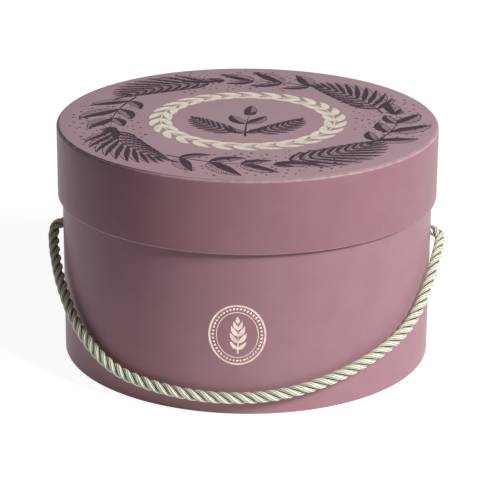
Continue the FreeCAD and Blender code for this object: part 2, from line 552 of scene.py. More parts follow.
@dataclass(frozen=True)
class SatinCord(Finish):
    """Twisted satin cord of cream and pale sage threads.

    The threads are set round each strand so that a cream one lies on the flank facing the key light
    along the front: a two-tone pattern that is partly a painted highlight. A deep sage line lies
    between two threads and near black between two strands: both are painted shade in the hollows.
    """

    name: str = "satin_cord"
    cream: str = "#fffdea"
    sage: str = "#eef0d6"
    seam_shade: str = "#4d5432"
    bright: str = "#fffef8"
    groove_shade: str = "#1d1c15"
    roughness: float = 0.36
    gloss: float = 0.35
    sheen: float = 0.1
    sheen_roughness: float = 0.3
    thread_span: Span = (-0.3, 0.3)
    seam_shade_span: Span = (0.05, 0.62)
    groove_shade_span: Span = (-0.17, 0.4)
    filaments: Noise = Noise(1.0, 3.0, 0.6)
    filament_stretch: Point = (9.0, 5.0, 0.9)
    filament_relief: Span = (0.00016, 0.8)
    bright_span: Span = (0.5, 0.75)
    bright_cover: Span = (0.0, 0.5)

    def inputs(self, sheet: NodeSheet) -> dict:
        """Tints and filaments that follow the strands' own lay attribute.

        Args:
            sheet: the new material's nodes.

        Returns:
            The shader's inputs.
        """
        lay = sheet.add("ShaderNodeAttribute", attribute_name="lay").outputs["Vector"]
        filaments = sheet.noise(sheet.scaled(lay, self.filament_stretch), self.filaments)
        bright = sheet.ramp(filaments, self.bright_span, self.bright_cover)
        outward, thread, _ = sheet.split(lay)
        apart = sheet.worked("ABSOLUTE", thread)
        # Cream and sage threads by turns, set so that a cream one lies on each strand's flank facing the
        # key light along the front: partly a painted highlight.
        colour = sheet.mix(sheet.ramp(thread, self.thread_span), self.cream, self.sage)
        # Painted shade: a deep sage line in the shallow hollow between two threads.
        colour = sheet.mix(sheet.ramp(apart, self.seam_shade_span, FADING), colour, self.seam_shade)
        colour = sheet.mix(bright, colour, self.bright)
        # Painted shade: near black on the strands' inner sides, in the hollows between two strands.
        colour = sheet.mix(sheet.ramp(outward, self.groove_shade_span, FADING), colour, self.groove_shade)
        return {"Base Color": colour, "Roughness": self.roughness, "Specular IOR Level": self.gloss,
                "Sheen Weight": self.sheen, "Sheen Roughness": self.sheen_roughness,
                "Normal": sheet.bump(filaments, self.filament_relief)}


@dataclass(frozen=True)
class ClearTape(Finish):
    """Clear film tape over pale cord, a little yellowed, with fine wrinkles."""

    name: str = "clear_tape"
    colour: str = "#dcd7c4"
    wrinkle: str = "#b9b294"
    roughness: float = 0.22
    wrinkles: Noise = Noise(1.0, 2.0)
    wrinkle_stretch: Point = (300.0, 1200.0, 1200.0)
    wrinkle_span: Span = (0.4, 0.7)
    wrinkle_cover: Span = (0.0, 0.4)
    wrinkle_relief: Span = (0.00006, 0.6)

    def inputs(self, sheet: NodeSheet) -> dict:
        """Tint and relief of wrinkles that run along the cord.

        Args:
            sheet: the new material's nodes.

        Returns:
            The shader's inputs.
        """
        wrinkles = sheet.noise(sheet.scaled(sheet.place(), self.wrinkle_stretch), self.wrinkles)
        share = sheet.ramp(wrinkles, self.wrinkle_span, self.wrinkle_cover)
        return {"Base Color": sheet.mix(share, self.colour, self.wrinkle), "Roughness": self.roughness,
                "Normal": sheet.bump(wrinkles, self.wrinkle_relief)}


@dataclass(frozen=True)
class PrintInk(Finish):
    """Dark printing ink on paper, a little uneven in its cover."""

    name: str = "plum_ink"
    colour: str = "#41303b"
    thin: str = "#4d3c46"
    roughness: float = 0.8
    gloss: float = 0.15
    cover: Noise = Noise(420.0, 4.0, 0.6)
    thin_span: Span = (0.45, 0.75)
    cover_relief: Span = (0.00001, 0.4)

    def inputs(self, sheet: NodeSheet) -> dict:
        """Tint and relief of an uneven cover.

        Args:
            sheet: the new material's nodes.

        Returns:
            The shader's inputs.
        """
        cover = sheet.noise(sheet.place(), self.cover)
        colour = sheet.mix(sheet.ramp(cover, self.thin_span), self.colour, self.thin)
        return {"Base Color": colour, "Roughness": self.roughness, "Specular IOR Level": self.gloss,
                "Normal": sheet.bump(cover, self.cover_relief)}


@dataclass(frozen=True)
class HotFoil(Finish):
    """Stamped metal foil with a faint pressed grain."""

    colour: str
    shade: str
    metal: float = 0.75
    roughness: float = 0.2
    shading: Noise = Noise(160.0)
    shade_span: Span = (0.4, 0.7)
    grain: Noise = Noise(1500.0)
    grain_relief: Span = (0.00002, 0.4)

    def inputs(self, sheet: NodeSheet) -> dict:
        """Softly shaded metal and its pressed grain.

        Args:
            sheet: the new material's nodes.

        Returns:
            The shader's inputs.
        """
        place = sheet.place()
        shaded = sheet.ramp(sheet.noise(place, self.shading), self.shade_span)
        return {"Base Color": sheet.mix(shaded, self.colour, self.shade), "Metallic": self.metal,
                "Roughness": self.roughness,
                "Normal": sheet.bump(sheet.noise(place, self.grain), self.grain_relief)}


@dataclass(frozen=True)
class BoxSizes:
    """Main sizes of the box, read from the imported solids."""

    drum_radius: float
    drum_foot: float
    drum_rim: float
    board_inner: float
    lid_radius: float
    lid_bottom: float
    lid_edge: float
    lid_face: float
    lid_sheet_radius: float
    lid_hem_face: float
    hole_height: float
    knot_face: float
    paper: float

    @classmethod
    def from_frame(cls, frame: dict) -> "BoxSizes":
        """Read the sizes off the nodes' boxes and the handle's hinge.


        Returns:
            The sizes.
        """
        wrap_low, wrap_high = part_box("drum_wrap")
        lid_low, lid_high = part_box("lid_wrap")
        sheet_low, sheet_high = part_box("lid_top_sheet")
        joints = {joint["name"]: joint for joint in frame["record"]["behaviour"]["joints"]}
        paper = sheet_high.z - sheet_low.z
        return cls(drum_radius=wrap_high.x, drum_foot=wrap_low.z, drum_rim=wrap_high.z,
                   board_inner=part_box("drum_floor")[1].x, lid_radius=lid_high.x,
                   lid_bottom=lid_low.z, lid_edge=lid_high.z, lid_face=sheet_high.z,
                   lid_sheet_radius=sheet_high.x,
                   lid_hem_face=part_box("lid_band_lining")[1].x - paper,
                   hole_height=joints["handle_swing"]["pos_m"][2],
                   knot_face=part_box("right_knot")[1].x, paper=paper)


def folded_profile(corners: Sequence[Point], step: float, arc_steps: int) -> Array:
    """Line across a folded sheet: straight runs joined by tangent arcs at the folds.

    A point of an arc is the sum of the arc's two end radii, each weighed by the sine of the swing
    left to the other end over the sine of the whole swing.

    Args:
        corners: radius, height and fold radius of each corner, in order.
        step: greatest spacing along the straight runs.
        arc_steps: number of steps in each arc.

    Returns:
        Radius and height of the points, one to a row.
    """
    places = np.array([corner[:2] for corner in corners])
    folds = [corner[2] for corner in corners]
    sweep = np.linspace(0, 1, arc_steps + 1)[:, None]
    stretches = [places[:1]]
    for before, corner, after, fold in zip(places, places[1:], places[2:], folds[1:]):
        back, ahead = unit(before - corner), unit(after - corner)
        half = math.acos(float(back @ ahead)) / 2
        centre = corner + unit(back + ahead) * fold / math.sin(half)
        reach = fold / math.tan(half)
        arms = np.vstack([corner + back * reach - centre, corner + ahead * reach - centre])
        swing = math.pi - 2 * half
        weights = np.hstack([np.sin((1 - sweep) * swing), np.sin(sweep * swing)]) / math.sin(swing)
        stretches.append(centre + weights @ arms)
    stretches.append(places[-1:])
    line = stretches[:1]
    for start, stretch in zip(stretches, stretches[1:]):
        gap = stretch[0] - start[-1]
        count = max(1, math.ceil(np.linalg.norm(gap) / step))
        line += [start[-1] + gap * np.linspace(0, 1, count + 1)[1:, None], stretch[1:]]
    return np.vstack(line)


@dataclass(frozen=True)
class Punch:
    """Round hole through a rolled sheet, and the patch of grid that is drawn round to meet it."""

    azimuth: float
    height: float
    radius: float
    reach: float = 0.012
    cells: int = 8
    square: float = 0.85

    @property
    def edge(self) -> float:
        """Half-width of the square of grid cells that the hole takes."""
        return self.radius * self.square

    def stops(self) -> Array:
        """Grid stops across the hole and its surround, from its centre.

        Returns:
            Even stops over the square, and on each side even stops from there to the reach.
        """
        middle = np.linspace(-self.edge, self.edge, self.cells + 1)
        outer = np.linspace(self.edge, self.reach, self.cells // 2 + 1)[1:]
        return np.concatenate([-outer[::-1], middle, outer])

    def drawn(self, across: Array, up: Array) -> tuple[Array, Array]:
        """Move grid points so that the square round the hole becomes its circle.

        The move scales a point from the centre by radius over distance at the square's edge and
        fades to nothing at the reach.

        Args:
            across: distance round the drum from the hole's centre.
            up: distance above the hole's centre.

        Returns:
            The moved distances.
        """
        size = np.maximum(np.abs(across), np.abs(up))
        fade = np.clip((size - self.edge) / (self.reach - self.edge), 0, 1)
        scale = fade + (1 - fade) * self.radius / np.maximum(np.hypot(across, up), TINY)
        scale = np.where(size > self.reach, 1.0, scale)
        return across * scale, up * scale

    def inside(self, across: Array, up: Array) -> Array:
        """Whether grid points lie in the square that the hole takes."""
        return np.maximum(np.abs(across), np.abs(up)) <= self.edge * JUST_OVER


def refined(stops: Array, centre: float, extra: Array) -> Array:
    """Stops with finer ones put in round a centre, in place of those they cover."""
    kept = stops[np.abs(stops - centre) > np.abs(extra).max() * CLEAR_OF]
    return np.sort(np.concatenate([kept, centre + extra]))


@dataclass
class RolledSheet:
    """Paper rolled round the box's axis with lapped ends.

    The outer face is the profile's radius and height carried round the axis; near its second end
    the sheet climbs by a little over its own thickness to lie on its first end.
    """

    name: str
    node: str
    profile: Array
    thickness: float
    seam_azimuth: float = 180.0
    lap: float = 0.011
    climb: float = 0.004
    climb_stops: int = 9
    climb_share: float = 1.1
    columns: int = 300
    punches: Sequence[Punch] = ()
    inward: bool = False

    def azimuths(self, radius: float) -> Array:
        """Azimuths of the columns: even, and finer at the holes and where the sheet climbs.

        Args:
            radius: the sheet's greatest radius.

        Returns:
            Radians, from the sheet's first end to its second.
        """
        start = math.radians(self.seam_azimuth) - FULL_TURN
        stops = np.linspace(start, start + FULL_TURN + self.lap / radius, self.columns)
        for punch in self.punches:
            stops = refined(stops, math.radians(punch.azimuth), punch.stops() / radius)
        half = self.climb / radius / 2
        return refined(stops, start + FULL_TURN - half, np.linspace(-half, half, self.climb_stops))

    def heights(self) -> Array:
        """The profile with finer points where its first upright run passes each hole.

        Returns:
            Radius and height of the points, one to a row.
        """
        profile = self.profile
        for punch in self.punches:
            near = np.abs(profile[:, 1] - punch.height) < punch.reach * CLEAR_OF
            run = np.flatnonzero(near & (profile[:, 0] == profile[np.argmax(near), 0]))
            stops = punch.height + punch.stops() * np.sign(profile[run[-1], 1] - profile[run[0], 1])
            fine = np.column_stack([np.full(len(stops), profile[run[0], 0]), stops])
            if not np.isclose(stops[:, None], profile[run, 1]).any(axis=1).all():
                profile = np.vstack([profile[:run[0]], fine, profile[run[-1] + 1:]])
        return profile

    def build(self) -> Piece:
        """Make the sheet's grid, punch it and give it its thickness.

        Returns:
            The piece.
        """
        profile = self.heights()
        radius = profile[:, 0].max()
        azimuth = self.azimuths(radius)
        past_climb = (azimuth - math.radians(self.seam_azimuth)) * radius / self.climb + 1
        lift = smoothstep(past_climb) * self.thickness * self.climb_share
        turn, out = np.meshgrid(azimuth, profile[:, 0])
        height = np.repeat(profile[:, 1:2], len(azimuth), axis=1)
        quads = grid_quads(len(profile), len(azimuth))
        keep = np.ones(len(quads), dtype=bool)
        on_wall = np.abs(out - radius) < self.thickness
        for punch in self.punches:
            across = (turn - math.radians(punch.azimuth)) * radius
            up = height - punch.height
            gone = (punch.inside(across, up) & on_wall).ravel()
            keep &= ~gone[quads].all(axis=1)
            moved_across, moved_up = punch.drawn(across, up)
            turn = np.where(on_wall, turn + (moved_across - across) / radius, turn)
            height = np.where(on_wall, height + moved_up - up, height)
        sign = -1 if self.inward else 1
        points = around(turn, out + sign * lift, height).reshape(-1, 3)
        used, faces = np.unique(quads[keep], return_inverse=True)
        return self.thickened(make_piece(self.name, points[used], [faces.reshape(-1, 4)]))

    def thickened(self, piece: Piece) -> Piece:
        """Give the sheet its thickness behind its face, and keep its cut edges crisp.

        Args:
            piece: the sheet's face.

        Returns:
            The same piece, with the thick mesh.
        """
        solid = piece.modifiers.new("paper", "SOLIDIFY")
        solid.thickness = self.thickness
        solid.offset = -1.0
        graph = bpy.context.evaluated_depsgraph_get()
        mesh = bpy.data.meshes.new_from_object(piece.evaluated_get(graph))
        piece.modifiers.remove(solid)
        face = piece.data
        piece.data = mesh
        bpy.data.meshes.remove(face)
        mesh.name = self.name
        mesh.set_sharp_from_angle(angle=CREASE)
        return piece


def turned_disc(name: str, profile: Array, columns: int = 240) -> Piece:
    """Solid of a profile carried round the box's axis and closed by a point at each end.

    Args:
        name: the piece's name.
        profile: radius and height of its points, from the middle of the top round to the underside.
        columns: points round the axis.

    Returns:
        The piece.
    """
    turn = np.linspace(0, FULL_TURN, columns, endpoint=False)
    wall = around(turn, profile[:, :1], profile[:, 1:]).reshape(-1, 3)
    poles = np.array([[0.0, 0.0, profile[0, 1]], [0.0, 0.0, profile[-1, 1]]])
    count = len(wall)
    here = np.arange(columns)
    ahead = (here + 1) % columns
    last = count - columns
    fans = [np.column_stack([np.full(columns, count), here, ahead]),
            np.column_stack([np.full(columns, count + 1), last + ahead, last + here])]
    quads = grid_quads(len(profile), columns, closed=True)[:, ::-1]
    piece = make_piece(name, np.vstack([wall, poles]), [quads, *fans])
    piece.data.set_sharp_from_angle(angle=CREASE)
    return piece


def settle(piece: Piece, material: Material, body: str, slot: str, *nodes: str) -> Piece:
    """Dress a piece, ride it on its body and let it stand for its solids.

    Args:
        piece: the new piece.
        material: its finish.
        body: the body it moves with.
        slot: not used.
        nodes: the solids it replaces, if any.

    Returns:
        The same piece.
    """
    piece.data.materials.clear()
    piece.data.materials.append(material)
    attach(piece, body)
    if nodes:
        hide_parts(*nodes)
    log.info("%s: %d faces on %s", piece.name, len(piece.data.polygons), body)
    return piece


def dress(material: Material, *nodes: str) -> None:
    """Give solids that stay in view their finish.

    Args:
        material: the finish.
        nodes: the solids' names.
    """
    for node in nodes:
        for slot in bpy.data.objects[node].material_slots:
            slot.material = material
        log.info("%s: solid in %s", node, material.name)


@dataclass
class PaperedShell(ABC):
    """Board shell with a folded covering outside and a lining inside, as drum and lid both are."""

    sizes: BoxSizes
    body: str
    fold: float = 0.0008
    lining_ramp: float = 0.001
    glue: float = 0.00005
    row_step: float = 0.008
    fold_steps: int = 7

    @abstractmethod
    def covering(self) -> RolledSheet:
        """The covering paper, which each shell lays out for itself."""

    @abstractmethod
    def lining(self) -> RolledSheet:
        """The wall's lining paper, which each shell lays out for itself."""

    def folded(self, *corners: Point) -> Array:
        """Line across a paper that is folded at its corners."""
        return folded_profile(corners, self.row_step, self.fold_steps)

    def papered(self, paper: Material, lining: Material) -> list[Piece]:
        """Make and dress the two rolled papers.

        Args:
            paper: the covering paper.
            lining: the lining paper.

        Returns:
            The new pieces.
        """
        papers = ((self.covering(), paper, "covering_paper"), (self.lining(), lining, "lining_paper"))
        return [settle(sheet.build(), material, self.body, slot, sheet.node)
                for sheet, material, slot in papers]


@dataclass
class Drum(PaperedShell):
    """The drum: its covering, its lining and the board inside them."""

    body: str = "drum"
    rim_hem: float = 0.015
    foot_hem: float = 0.012
    hole_radius: float = 0.00425
    hole_azimuth: float = 90.0
    lining_rows: int = 20
    lining_seam: float = 160.0

    def punches(self) -> tuple[Punch, ...]:
        """The two cord holes."""
        return tuple(Punch(self.hole_azimuth * side.value, self.sizes.hole_height, self.hole_radius)
                     for side in Side)

    def covering(self) -> RolledSheet:
        """Covering paper: from under the foot, up the wall and over the rim to its hem inside.

        Returns:
            The sheet.
        """
        sizes = self.sizes
        hem = sizes.board_inner - sizes.paper
        profile = self.folded((sizes.drum_radius - self.foot_hem, sizes.drum_foot, 0.0),
                              (sizes.drum_radius, sizes.drum_foot, self.fold),
                              (sizes.drum_radius, sizes.drum_rim, self.fold),
                              (hem, sizes.drum_rim, self.fold),
                              (hem, sizes.drum_rim - self.rim_hem, 0.0))
        return RolledSheet("drum_covering", "drum_wrap", profile, sizes.paper, punches=self.punches())

    def lining(self) -> RolledSheet:
        """Lining paper: from below the rim, over the hem's edge and down to the floor.

        Returns:
            The sheet.
        """
        sizes = self.sizes
        low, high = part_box("drum_lining")
        face = sizes.board_inner - sizes.paper
        neck = face - sizes.paper - self.glue
        step = sizes.drum_rim - self.rim_hem - self.glue
        wall = np.linspace(step - self.lining_ramp, low.z, self.lining_rows)
        profile = np.vstack([[(neck, high.z), (neck, step)],
                             np.column_stack([np.full(self.lining_rows, face), wall])])
        return RolledSheet("drum_lining_paper", "drum_lining", profile, sizes.paper, self.lining_seam,
                           punches=self.punches(), inward=True)

    def build(self, paper: Material, lining: Material, board: Material) -> list[Piece]:
        """Make and dress the drum's pieces.

        Args:
            paper: the covering paper.
            lining: the lining paper.
            board: the greyboard.

        Returns:
            The new pieces.
        """
        pieces = self.papered(paper, lining)
        dress(board, "drum_tube", "drum_floor")
        dress(lining, "floor_lining")
        dress(paper, "underside_sheet")
        return pieces


@dataclass
class Lid(PaperedShell):
    """The lid: its covering, its lining, the card on its top and the board inside them."""

    body: str = "lid"
    top_fold: float = 0.0012
    hem: float = 0.015
    top_hem: float = 0.012
    covering_seam: float = 172.0
    lining_seam: float = 150.0
    panel_rise: float = 0.00025
    panel_edge: float = 0.00015
    panel_foot: float = 0.0000375
    panel_core: float = 0.02
    panel_step: float = 0.02
    panel_fold_steps: int = 5

    def covering(self) -> RolledSheet:
        """Covering paper: from its hem inside, round the lower edge, up the skirt and over the top.

        Returns:
            The sheet.
        """
        sizes = self.sizes
        profile = self.folded((sizes.lid_hem_face, sizes.lid_bottom + self.hem, 0.0),
                              (sizes.lid_hem_face, sizes.lid_bottom, self.fold),
                              (sizes.lid_radius, sizes.lid_bottom, self.fold),
                              (sizes.lid_radius, sizes.lid_edge, self.top_fold),
                              (sizes.lid_radius - self.top_hem, sizes.lid_edge, 0.0))
        return RolledSheet("lid_covering", "lid_wrap", profile, sizes.paper, self.covering_seam)

    def panel(self) -> Piece:
        """Printed card on the lid's top, proud of the covering, with a softened edge.

        Returns:
            The piece.
        """
        low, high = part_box("lid_top_sheet")
        top = high.z + self.panel_rise
        corners = [(self.panel_core, top, 0.0), (high.x, top, self.panel_edge),
                   (high.x, low.z, self.panel_foot), (self.panel_core, low.z, 0.0)]
        profile = folded_profile(corners, self.panel_step, self.panel_fold_steps)
        return turned_disc("lid_top_panel", profile)

    def lining(self) -> RolledSheet:
        """Lining paper: from the lid's top down the skirt and over the hem's edge.

        Returns:
            The sheet.
        """
        sizes = self.sizes
        low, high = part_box("lid_band_lining")
        face = sizes.lid_hem_face
        step = sizes.lid_bottom + self.hem + self.glue
        neck = face - sizes.paper - self.glue
        profile = np.array([(face, high.z), (face, step + self.lining_ramp),
                            (neck, step), (neck, low.z)])
        return RolledSheet("lid_lining_paper", "lid_band_lining", profile, sizes.paper, self.lining_seam,
                           inward=True)

    def build(self, paper: Material, card: Material, lining: Material, board: Material) -> list[Piece]:
        """Make and dress the lid's pieces.

        Args:
            paper: the covering paper.
            card: the card on the lid's top.
            lining: the lining paper.
            board: the greyboard.

        Returns:
            The new pieces.
        """
        pieces = self.papered(paper, lining)
        dress(board, "lid_ring", "lid_disc")
        pieces.append(settle(self.panel(), card, self.body, "covering_paper", "lid_top_sheet"))
        dress(lining, "lid_disc_lining")
        return pieces


def smooth_line(name: str, corners: Array, steps: int = 24) -> Array:
    """Points along the NURBS spline that has a route's points as its control points.

    Args:
        name: a name for the passing curve.
        corners: the route's points.
        steps: points to each stretch of the spline.

    Returns:
        The points in order, one to a row.
    """
    curve = bpy.data.curves.new(name, "CURVE")
    curve.dimensions = "3D"
    curve.resolution_u = steps
    spline = curve.splines.new("NURBS")
    spline.points.add(len(corners) - 1)
    spline.points.foreach_set("co", np.column_stack([corners, np.ones(len(corners))]).ravel())
    spline.order_u = 3
    spline.use_endpoint_u = True
    holder = bpy.data.objects.new(name, curve)
    mesh = bpy.data.meshes.new_from_object(holder)
    points = np.empty(3 * len(mesh.vertices))
    mesh.vertices.foreach_get("co", points)
    bpy.data.objects.remove(holder)
    bpy.data.curves.remove(curve)
    bpy.data.meshes.remove(mesh)
    return points.reshape(-1, 3)


def distances(points: Array) -> Array:
    """Distance of each point of a line along it from its start."""
    return np.concatenate([[0.0], np.cumsum(np.linalg.norm(np.diff(points, axis=0), axis=1))])


def evenly(points: Array, spacing: float) -> Array:
    """A line's points set out again at even distances along it.

    Args:
        points: the line.
        spacing: the distance aimed at.

    Returns:
        The new points, at least three.
    """
    along = distances(points)
    stops = np.linspace(0, along[-1], max(3, round(along[-1] / spacing) + 1))
    return np.column_stack([np.interp(stops, along, points[:, axis]) for axis in range(3)])


def steady_frames(points: Array, guide: Point) -> tuple[Array, Array]:
    """Two normals of a line that turn about it as little as they can.

    The normals start from a guide made square to the tangent; the turn of that pair about the
    tangent is summed along the line and taken out again.

    Args:
        points: the line.
        guide: a direction that the line never runs along.

    Returns:
        Normal and binormal at each point.
    """
    tangent = unit(np.gradient(points, axis=0))
    guide = np.array(guide)
    normal = unit(guide - (tangent @ guide)[:, None] * tangent)
    binormal = np.cross(tangent, normal)
    turn = (np.diff(normal, axis=0) * (binormal[1:] + binormal[:-1]) / 2).sum(axis=1)
    angle = -np.concatenate([[0.0], np.cumsum(turn)])[:, None]
    steady = np.cos(angle) * normal + np.sin(angle) * binormal
    return steady, np.cross(tangent, steady)


@dataclass
class CordHandle:
    """Twisted cord: the loop outside the drum, and a knotted end inside each hole.

    Each strand's middle winds round the cord's line at a fixed distance, right-handed, and its
    section is a circle with shallow grooves between the threads, which lie along the strand.
    """

    sizes: BoxSizes
    body: str = "handle"
    diameter: float = 0.0075
    strands: int = 3
    strand_radius: float = 0.00178
    strand_stagger: float = 900.0
    lay_length: float = 0.0227
    threads: int = 6
    thread_groove: float = 0.15
    ring_spacing: float = 0.00085
    ring_points: int = 42
    path_rings: int = 4
    loop_guide: Point = (0.0, 0.0, 1.0)
    end_guide: Point = (0.5, 0.61, 0.61)
    route: tuple[Point, ...] = (
        (-90.0, 0.0012, 0.0), (-89.2, 0.0048, 0.0013), (-87.9, 0.0069, 0.0038),
        (-85.0, 0.0067, 0.0085), (-79.0, 0.0061, 0.0154), (-69.0, 0.0058, 0.0284),
        (-56.0, 0.0057, 0.0483), (-40.0, 0.0057, 0.0641), (-23.0, 0.0057, 0.0682),
        (-6.0, 0.0057, 0.0699), (11.0, 0.0057, 0.0684), (28.0, 0.0057, 0.0611),
        (44.0, 0.0057, 0.0514), (58.0, 0.0057, 0.0421), (69.0, 0.0058, 0.0253),
        (78.0, 0.0061, 0.0101), (84.0, 0.0067, 0.0049), (87.5, 0.0069, 0.0024),
        (89.1, 0.0048, 0.0008), (90.0, 0.0012, 0.0),
    )
    knot_route: tuple[Point, ...] = (
        (0.0, 0.0, 0.0), (0.0050, 0.0, 0.0), (0.0105, 0.0012, 0.05), (0.0126, 0.0046, 0.16),
        (0.0118, 0.0052, 0.32), (0.0107, 0.0052, 0.48), (0.0096, 0.0052, 0.64),
        (0.0084, 0.0052, 0.80), (0.0072, 0.0052, 0.96), (0.0060, 0.0052, 1.12),
        (0.0048, 0.0052, 1.28), (0.0038, 0.0050, 1.42), (0.0042, 0.0034, 1.54),
        (0.0080, 0.0016, 1.62), (0.0130, 0.0006, 1.66), (0.0170, 0.0, 1.66),
    )
    tail_lead: float = 0.0081
    tail_run: float = 0.009
    tail_droop: float = 32.0

    def corners(self) -> Array:
        """The loop's route: azimuth, stand-off from the wall and drop below the holes.

        Returns:
            Its points, from knot to knot.
        """
        sizes = self.sizes
        azimuth, stand_off, drop = np.array(self.route).T
        outside = around(np.radians(azimuth), sizes.drum_radius + stand_off, sizes.hole_height - drop)
        left, right = [(side.value * sizes.knot_face, 0.0, sizes.hole_height) for side in Side]
        return np.vstack([left, outside, right])

    def end_corners(self, side: Side) -> Array:
        """A knotted end's route: distance in from the wall, distance from the hole's axis, and turns.

        Args:
            side: which end.

        Returns:
            Its points, from the wall through the knot to the end of the drooping tail.
        """
        sizes = self.sizes
        inward, distance, turns = np.array(self.knot_route).T
        angle = FULL_TURN * turns + math.pi / 2
        knot = np.column_stack([side.value * (sizes.knot_face - inward), distance * np.cos(angle),
                                sizes.hole_height + distance * np.sin(angle)])
        droop = math.radians(self.tail_droop)
        bend = knot[-1] + np.array([-side.value, 0.0, 0.0]) * self.tail_lead
        end = bend + np.array([-side.value * math.cos(droop), 0.0, -math.sin(droop)]) * self.tail_run
        return np.vstack([knot, bend, end])

    def twisted(self, name: str, line: Array, guide: Point) -> Piece:
        """Strands wound along a line.

        Args:
            name: the piece's name.
            line: the cord's middle line.
            guide: a direction that the line never runs along.

        Returns:
            One piece of closed strands, with the attribute "lay": cosine of the angle round the
            strand from its outer side, a wave that changes sign from thread to thread, and the
            distance along the strand in strand radii, staggered from strand to strand.
        """
        points = evenly(line, self.ring_spacing)
        normal, binormal = steady_frames(points, guide)
        count = len(points)
        along = np.linspace(0, distances(points)[-1], count)
        number = np.arange(self.strands)
        phase = FULL_TURN * (along / self.lay_length + number[:, None] / self.strands)
        outward = np.cos(phase)[..., None] * normal + np.sin(phase)[..., None] * binormal
        middle = points + (self.diameter / 2 - self.strand_radius) * outward
        forward = unit(np.gradient(middle, axis=1))
        outward = unit(outward - (outward * forward).sum(axis=-1, keepdims=True) * forward)
        sideways = np.cross(forward, outward)
        angle = np.linspace(0, FULL_TURN, self.ring_points, endpoint=False)
        wave = np.sin(self.threads * angle / 2)
        radius = self.strand_radius * (1 - self.thread_groove * (1 - np.abs(wave)))
        section = circle(angle) * radius[:, None]
        rings = (middle[:, :, None] + section[:, :1] * outward[:, :, None]
                 + section[:, 1:] * sideways[:, :, None])
        starts = (number * count * self.ring_points)[:, None]
        wall = grid_quads(count, self.ring_points, closed=True)
        ring = np.arange(self.ring_points)
        faces = [(starts[..., None] + wall).reshape(-1, 4), starts + ring[::-1],
                 starts + (count - 1) * self.ring_points + ring]
        stagger = self.strand_stagger * number[:, None, None]
        lay = np.stack(np.broadcast_arrays(np.cos(angle), wave,
                                           along[:, None] / self.strand_radius + stagger), axis=-1)
        return make_piece(name, rings.reshape(-1, 3), faces, lay.reshape(-1, 3))

    def build(self, cord: Material, tape: Material) -> list[Piece]:
        """Args:
            cord: the satin cord.
            tape: the tape on the cut ends.

        Returns:
            The new pieces.
        """
        line = smooth_line("cord_line", self.corners())
        loop = settle(self.twisted("cord_loop", line, self.loop_guide), cord, self.body, "satin_cord",
                      "cord_span")
        ends = []
        for side in Side:
            end_line = smooth_line("knot_line", self.end_corners(side))
            end = self.twisted(f"{side.word}_knotted_end", end_line, self.end_guide)
            ends.append(settle(end, cord, self.body, "satin_cord", f"{side.word}_knot",
                               f"{side.word}_tail"))
        tapes = [f"{side.word}_end_tape" for side in Side]
        dress(tape, *tapes)
        return [loop, *ends]


@dataclass(frozen=True)
class Wave:
    """A sine of a number: its size, its pace and its offset."""

    size: float
    pace: float
    offset: float = 0.0

    def at(self, number: Array) -> Array:
        """The size times the sine of the pace times the number plus the offset."""
        return self.size * np.sin(self.pace * number + self.offset)


@dataclass(frozen=True)
class Strokes:
    """Flat marks of one kind: middle lines in the plane, and half-widths along them."""

    lines: Array
    halves: Array

    @classmethod
    def even(cls, lines: Array, half: float) -> "Strokes":
        """Lines of one half-width."""
        return cls(lines, np.full(lines.shape[:2], half))


def raised(name: str, groups: Sequence[Strokes], place: Placer, rise: float,
           sink: float = 0.00002) -> Piece:
    """Marks as thin closed ridges on a surface.

    Each mark's section is a low arch: its feet are sunk a little under the surface and its crown
    stands above it; the section is carried along the middle line. Crowns differ in height by the
    golden share of their number, so that marks which cross don't lie in one plane.

    Args:
        name: the piece's name.
        groups: marks, in groups of one count of points each.
        place: puts plane points and heights above the surface into space.
        rise: height of the lowest crown.
        sink: depth of the feet.

    Returns:
        One piece with all the marks.
    """
    across = np.array([-1.0, -0.8, 0.8, 1.0])
    arch = np.array([0.0, 1.0, 1.0, 0.0])
    width = len(across)
    blocks, faces, start, done = [], [], 0, 0
    for group in groups:
        count, stations = group.halves.shape
        along = unit(np.gradient(group.lines, axis=1))
        left = np.stack([-along[..., 1], along[..., 0]], axis=-1)
        offset = (group.halves[..., None] * across)[..., None] * left[:, :, None]
        plane = group.lines[:, :, None] + offset
        crown = rise * (1 + (GOLDEN_SHARE * (done + np.arange(count))) % 1)[:, None, None]
        lift = np.broadcast_to(arch * (crown + sink) - sink, plane.shape[:-1])
        blocks.append(place(plane, lift).reshape(-1, 3))
        each = start + np.arange(count)[:, None] * stations * width
        wall = grid_quads(stations, width, closed=True)[:, ::-1]
        foot = np.arange(width)
        faces += [(each[..., None] + wall).reshape(-1, 4), each + foot,
                  each + (stations - 1) * width + foot[::-1]]
        done += count
        start += count * stations * width
    piece = make_piece(name, np.vstack(blocks), faces)
    piece.data.polygons.foreach_set("use_smooth", np.zeros(len(piece.data.polygons), dtype=bool))
    return piece


